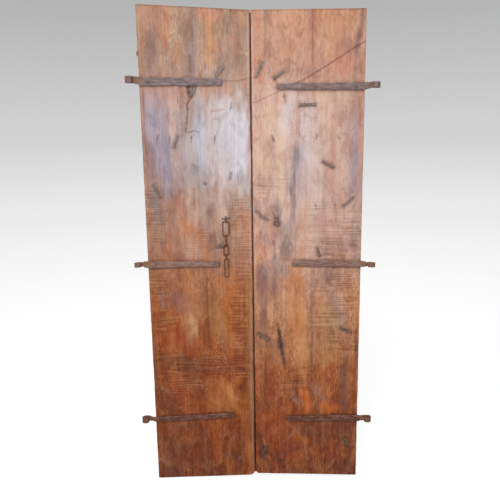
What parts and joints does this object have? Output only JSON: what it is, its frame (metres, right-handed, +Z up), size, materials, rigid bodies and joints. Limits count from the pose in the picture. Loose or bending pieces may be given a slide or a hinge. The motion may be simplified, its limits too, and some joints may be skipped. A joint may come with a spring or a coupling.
{
  "type": "plank double door",
  "caption": "Old teak plank double door without a frame: leaves on forged strap hinges with rolled eyes, bent-over nail points, and a chain latch with a long end loop.",
  "frame": {"origin": "bottom centre of the overall box, midway between the hinge eyes of the two leaves, at the height of the lowest corner", "axes": "+X to the right when the plain inner side is seen, +Y into the wood away from the viewer, +Z up"},
  "size_m": [1.012, 0.0982, 2.042],
  "materials": {
    "weathered_teak": "worn, saw-marked and oiled by hands",
    "hinge_iron": "hand-forged, rusted",
    "nail_iron": "hand-forged, rusted",
    "latch_iron": "hand-forged, worn dark"
  },
  "bodies": {
    "left_leaf": {"left_plank": "weathered_teak", "left_clenched_nails": "nail_iron", "left_straight_nails": "nail_iron", "left_edge_nail": "nail_iron", "chain_staple": "latch_iron", "cover_strip": "weathered_teak", "cover_strip_nails": "nail_iron", "left_top_hinge": "hinge_iron", "left_top_hinge_nails": "nail_iron", "left_middle_hinge": "hinge_iron", "left_middle_hinge_nails": "nail_iron", "left_bottom_hinge": "hinge_iron", "left_bottom_hinge_nails": "nail_iron"},
    "right_leaf": {"right_plank": "weathered_teak", "right_top_piece": "weathered_teak", "right_clenched_nails": "nail_iron", "right_straight_nails": "nail_iron", "right_eye_staple": "latch_iron", "right_top_hinge": "hinge_iron", "right_top_hinge_nails": "nail_iron", "right_middle_hinge": "hinge_iron", "right_middle_hinge_nails": "nail_iron", "right_bottom_hinge": "hinge_iron", "right_bottom_hinge_nails": "nail_iron"},
    "first_link": {"chain_link_1": "latch_iron"},
    "second_link": {"chain_link_2": "latch_iron"},
    "third_link": {"chain_link_3": "latch_iron"},
    "end_loop": {"chain_hasp": "latch_iron"}
  },
  "joints": [
    {"name": "right_leaf_swing", "type": "hinge", "parent": "left_leaf", "child": "right_leaf", "pos_m": [0.4905, -0.02587, 0.29384], "axis": [0, 0, 1], "range_deg": [0, 110]},
    {"name": "first_link_swing", "type": "hinge", "parent": "left_leaf", "child": "first_link", "pos_m": [-0.11787, -0.03438, 1.17928], "axis": [0, -1, 0], "range_deg": [-100, 100]},
    {"name": "second_link_swing", "type": "hinge", "parent": "first_link", "child": "second_link", "pos_m": [-0.11787, -0.03438, 1.12638], "axis": [0, -1, 0], "range_deg": [-60, 60]},
    {"name": "third_link_swing", "type": "hinge", "parent": "second_link", "child": "third_link", "pos_m": [-0.11787, -0.03438, 1.07888], "axis": [0, -1, 0], "range_deg": [-60, 60]},
    {"name": "end_loop_swing", "type": "hinge", "parent": "third_link", "child": "end_loop", "pos_m": [-0.11787, -0.03438, 1.04498], "axis": [0, -1, 0], "range_deg": [-60, 60]}
  ]
}
